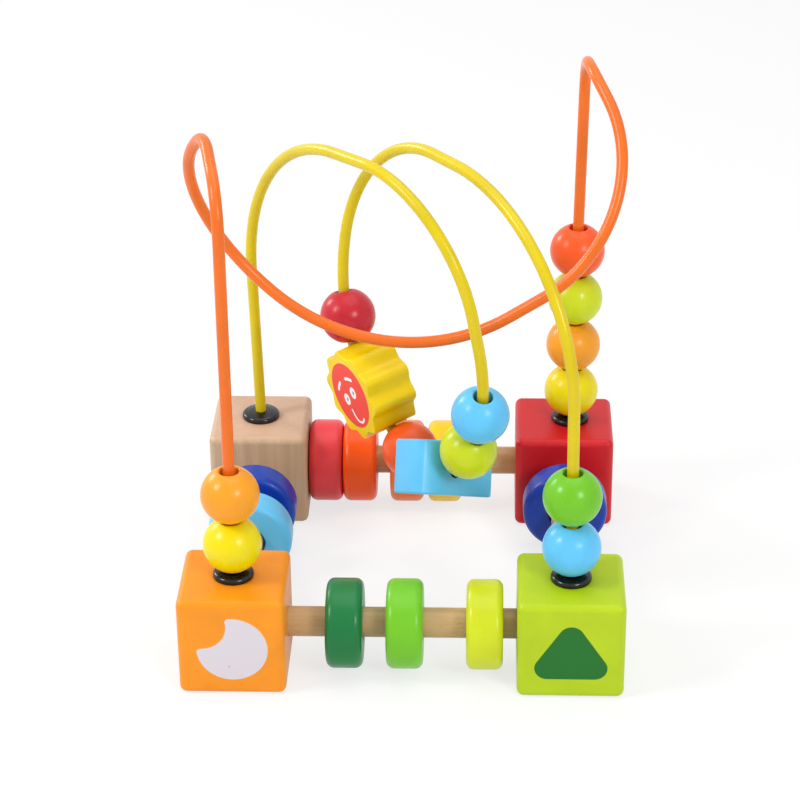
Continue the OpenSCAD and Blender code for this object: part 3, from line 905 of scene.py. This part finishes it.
class MAZE_OT_grommets(bpy.types.Operator):
    """Mould the black grommets that close the wire holes"""

    bl_idname = "maze.grommets"
    bl_label = "Grommets"

    def execute(self, context):
        material = moulded_black("moulded_black", colours().black_plastic)
        for node in [n for n in frame["nodes"] if n.startswith("grommet_")]:
            middle = box_middle(node)
            middle.z = BLOCK_SIDE
            turn_on_lathe(node, grommet_profile(), middle, Vector((0, 0, 1)), material, segments=72)
        return {"FINISHED"}


class MAZE_OT_beads(bpy.types.Operator):
    """Turn the round beads and lacquer each in its colour"""

    bl_idname = "maze.beads"
    bl_label = "Beads"

    def execute(self, context):
        for node in [n for n in frame["nodes"] if n.startswith("bead_")]:
            way = wire_way(node)
            paint = getattr(colours(), SLOT_OF[node])
            material = lacquer(node + "_lacquer", paint, tuple(way), 0.26)
            turn_on_lathe(node, bead_profile(), box_middle(node), way, material)
        return {"FINISHED"}


class MAZE_OT_wave(bpy.types.Operator):
    """Saw the wave out, ease its edges, drill and lacquer it"""

    bl_idname = "maze.wave"
    bl_label = "Wave"

    def execute(self, context):
        s = sizes()
        steps = 64
        walls = []
        for k in range(steps + 1):
            x = -s.wave_length / 2 * math.cos(math.pi * k / steps)
            past = max(0, abs(x) - s.wave_length / 2 + s.wave_end)
            half = s.wave_thickness / 2 - s.wave_end + math.sqrt(max(0, s.wave_end ** 2 - past ** 2))
            walls.append((x, s.wave_swing * math.sin(2 * math.pi * x / s.wave_length), half))
        outline = [(x, y - h) for x, y, h in walls] + [(x, y + h) for x, y, h in reversed(walls)]
        mesh = sawn_mesh("wave", outline, s.wave_height, s.sawn_edge, s.bead_bore)
        mesh.transform(frame_matrix(*wire_frame("wave_block", s.wave_tilt)))
        mesh.materials.append(lacquer("wave_lacquer", colours().sky_paint, (1, 0, 0), 0.3))
        stand_for("wave_block", mesh)
        return {"FINISHED"}


class MAZE_OT_sun(bpy.types.Operator):
    """Saw the sun out with its rays, ease its edges, drill, lacquer and print it"""

    bl_idname = "maze.sun"
    bl_label = "Sun"

    def execute(self, context):
        s = sizes()
        steps = s.sun_rays * 24
        outline = []
        for k in range(steps):
            turn = 2 * math.pi * k / steps
            radius = s.sun / 2 - s.sun_ray * (1 + math.cos(s.sun_rays * (turn - math.pi / 2))) / 2
            outline.append((radius * math.cos(turn), radius * math.sin(turn)))
        mesh = sawn_mesh("sun", outline, s.sun_thickness, s.sawn_edge / 2, s.bead_bore)
        mesh.transform(frame_matrix(*sun_frame()))
        mesh.materials.append(lacquer("sun_lacquer", colours().sun_paint, (1, 0, 0), 0.34, face_print))
        stand_for("sun_block", mesh)
        return {"FINISHED"}


class MAZE_OT_stage(bpy.types.Operator):
    """Set up the camera, the pale floor and the soft lamps"""

    bl_idname = "maze.stage"
    bl_label = "Stage"

    lens = 116.16
    sensor = 36.0
    camera_place = Vector((0.03202, -0.88334, 0.54766))
    camera_turn = (-0.0391, 0.4854, 0.0101)
    aim = Vector((0, 0, 0.08))
    lamps = [("key_lamp", (-0.73, -0.30, 0.62), 1.3, 0.34, 7.4),
             ("fill_lamp", (0.50, -0.715, 0.50), 1.3, 0.34, 6),
             ("rim_lamp", (-0.78, 0.54, 0.42), 1.3, 0.34, 5),
             ("top_lamp", (0.1, 0.1, 1.0), 1.4, 1.2, 8)]
    room_light = 0.42
    floor_glow = 0.72
    floor_reach = 9.0

    def camera(self, scene):
        """The camera, placed and turned as the photo's was."""
        yaw, pitch, roll = self.camera_turn
        ahead = Vector((math.sin(yaw) * math.cos(pitch), math.cos(yaw) * math.cos(pitch), -math.sin(pitch)))
        level = Vector((math.cos(yaw), -math.sin(yaw), 0))
        down = ahead.cross(level)
        right = math.cos(roll) * level + math.sin(roll) * down
        below = -math.sin(roll) * level + math.cos(roll) * down
        data = bpy.data.cameras.new("camera")
        data.lens, data.sensor_width = self.lens, self.sensor
        camera = bpy.data.objects.new("camera", data)
        camera.matrix_world = frame_matrix(self.camera_place, right, -below, -ahead)
        scene.collection.objects.link(camera)
        scene.camera = camera

    def floor(self):
        """The wide floor: it takes soft shadows, and glows where the camera sees it."""
        floor = Finish("pale_floor")
        place = floor.place()
        cloud = floor.noise(place, 3, 2)
        paper = colours().floor
        tone = floor.mix(floor.ramp(cloud, 0.3, 0.7), shade(paper, 0.985), paper)
        material = floor.surface(Base_Color=tone, Roughness=0.9)
        seen = floor.seen() * self.floor_glow
        paper_light = floor.node("ShaderNodeEmission", {}, {"Color": (1, 1, 1)})
        lit = floor.output.inputs[0].links[0].from_socket
        mixed = floor.node("ShaderNodeMixShader", {}, {
            0: seen, 1: Value(floor, lit), 2: Value(floor, paper_light.outputs[0])})
        floor.tree.links.new(mixed.outputs[0], floor.output.inputs[0])
        rim = arc((0, 0), self.floor_reach, 0, 355, 71)
        mesh = bpy.data.meshes.new("floor")
        mesh.from_pydata([(x, y, 0) for x, y in rim], [], [tuple(range(len(rim)))])
        mesh.materials.append(material)
        link("floor", mesh)

    def room(self, scene):
        """The room's even light, white where the camera sees it."""
        world = bpy.data.worlds.new("soft_room")
        room = Finish("soft_room", world)
        light = room.seen() * (1 - self.room_light) + self.room_light
        sky = room.node("ShaderNodeBackground", {}, {"Color": (1, 1, 1), "Strength": light})
        room.tree.links.new(sky.outputs[0], room.output.inputs[0])
        scene.world = world

    def lamp(self, scene, name, way, distance, size, power):
        """A square lamp at a distance from the maze, in the direction of way, that points at it."""
        data = bpy.data.lights.new(name, "AREA")
        data.size, data.energy = size, power
        lamp = bpy.data.objects.new(name, data)
        direction = Vector(way).normalized()
        lamp.matrix_world = Matrix.Translation(self.aim + direction * distance) \
            @ direction.to_track_quat("Z", "Y").to_matrix().to_4x4()
        scene.collection.objects.link(lamp)

    def execute(self, context):
        scene = context.scene
        scene.view_settings.view_transform = "Standard"
        self.camera(scene)
        self.floor()
        for lamp in self.lamps:
            self.lamp(scene, *lamp)
        self.room(scene)
        return {"FINISHED"}


class MAZE_PT_panel(bpy.types.Panel):
    """The maze's sizes, colours and operators"""

    bl_idname = "MAZE_PT_panel"
    bl_label = "Bead maze"
    bl_space_type = "VIEW_3D"
    bl_region_type = "UI"
    bl_category = "Bead maze"

    def draw(self, context):
        for operator in OPERATORS:
            self.layout.operator(operator.bl_idname)
        for group in (sizes(), colours()):
            box = self.layout.box()
            for key in group.__annotations__:
                box.prop(group, key)


OPERATORS = [MAZE_OT_stage, MAZE_OT_blocks, MAZE_OT_dowels, MAZE_OT_discs, MAZE_OT_wires, MAZE_OT_grommets,
             MAZE_OT_beads, MAZE_OT_wave, MAZE_OT_sun]
CLASSES = [MazeSizes, MazeColours, *OPERATORS, MAZE_PT_panel]


def register():
    """Add the maze's classes and settings to Blender."""
    for cls in CLASSES:
        bpy.utils.register_class(cls)
    bpy.types.Scene.maze_sizes = PointerProperty(type=MazeSizes)
    bpy.types.Scene.maze_colours = PointerProperty(type=MazeColours)


def unregister():
    """Take the maze's classes and settings away again."""
    del bpy.types.Scene.maze_sizes
    del bpy.types.Scene.maze_colours
    for cls in reversed(CLASSES):
        bpy.utils.unregister_class(cls)


def main():
    """Build the maze and its stage."""
    register()
    bpy.ops.maze.stage()
    bpy.ops.maze.blocks()
    bpy.ops.maze.dowels()
    bpy.ops.maze.discs()
    bpy.ops.maze.wires()
    bpy.ops.maze.grommets()
    bpy.ops.maze.beads()
    bpy.ops.maze.wave()
    bpy.ops.maze.sun()


if __name__ == "__main__":
    main()
